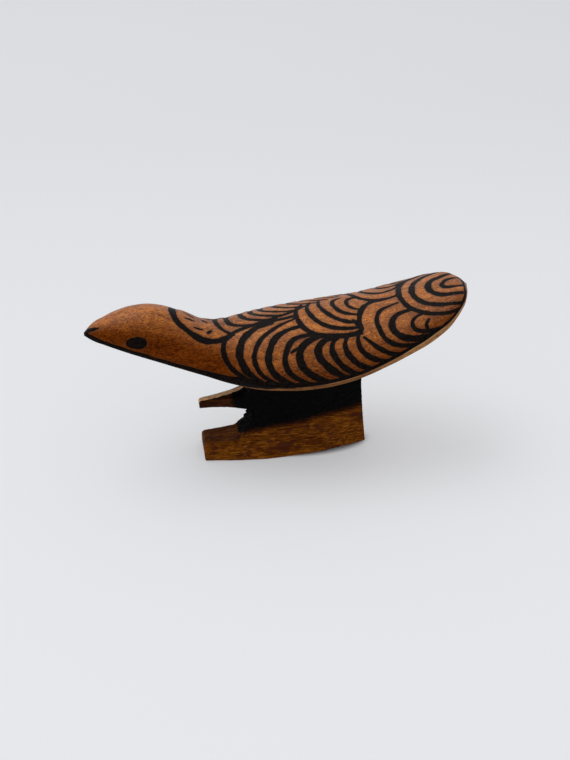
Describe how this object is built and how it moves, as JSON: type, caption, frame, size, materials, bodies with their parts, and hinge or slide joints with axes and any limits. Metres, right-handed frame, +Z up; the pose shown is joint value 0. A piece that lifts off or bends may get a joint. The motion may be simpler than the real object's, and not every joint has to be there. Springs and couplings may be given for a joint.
{
  "type": "ocarina",
  "caption": "Bird-shaped wooden vessel flute with a hollow carved back and a belly plate, burned line decoration, standing on a notched charred pedestal",
  "frame": {"origin": "centre of the bounding box on the plane the pedestal rests on", "axes": "+Z up, the head points to -X and the tail with the mouthpiece to +X, +Y across the bird"},
  "size_m": [0.2, 0.067, 0.0931],
  "materials": {
    "back_wood": "satin varnished reddish-brown hardwood with burned black lines",
    "belly_wood": "bare light wood on the edge, oiled underneath",
    "insert_wood": "fine-grained hardwood, unfinished",
    "pedestal_wood": "oiled brown foot shading into a charred black waist",
    "peg_wood": "unfinished hardwood peg"
  },
  "bodies": {
    "root": {"carved_back": "back_wood", "belly_plate": "belly_wood", "windway_block": "insert_wood", "labium": "insert_wood", "pedestal": "pedestal_wood", "seam_peg_1": "peg_wood", "seam_peg_2": "peg_wood", "seam_peg_3": "peg_wood", "seam_peg_4": "peg_wood", "pedestal_dowel_1": "peg_wood", "pedestal_dowel_2": "peg_wood"}
  },
  "joints": []
}
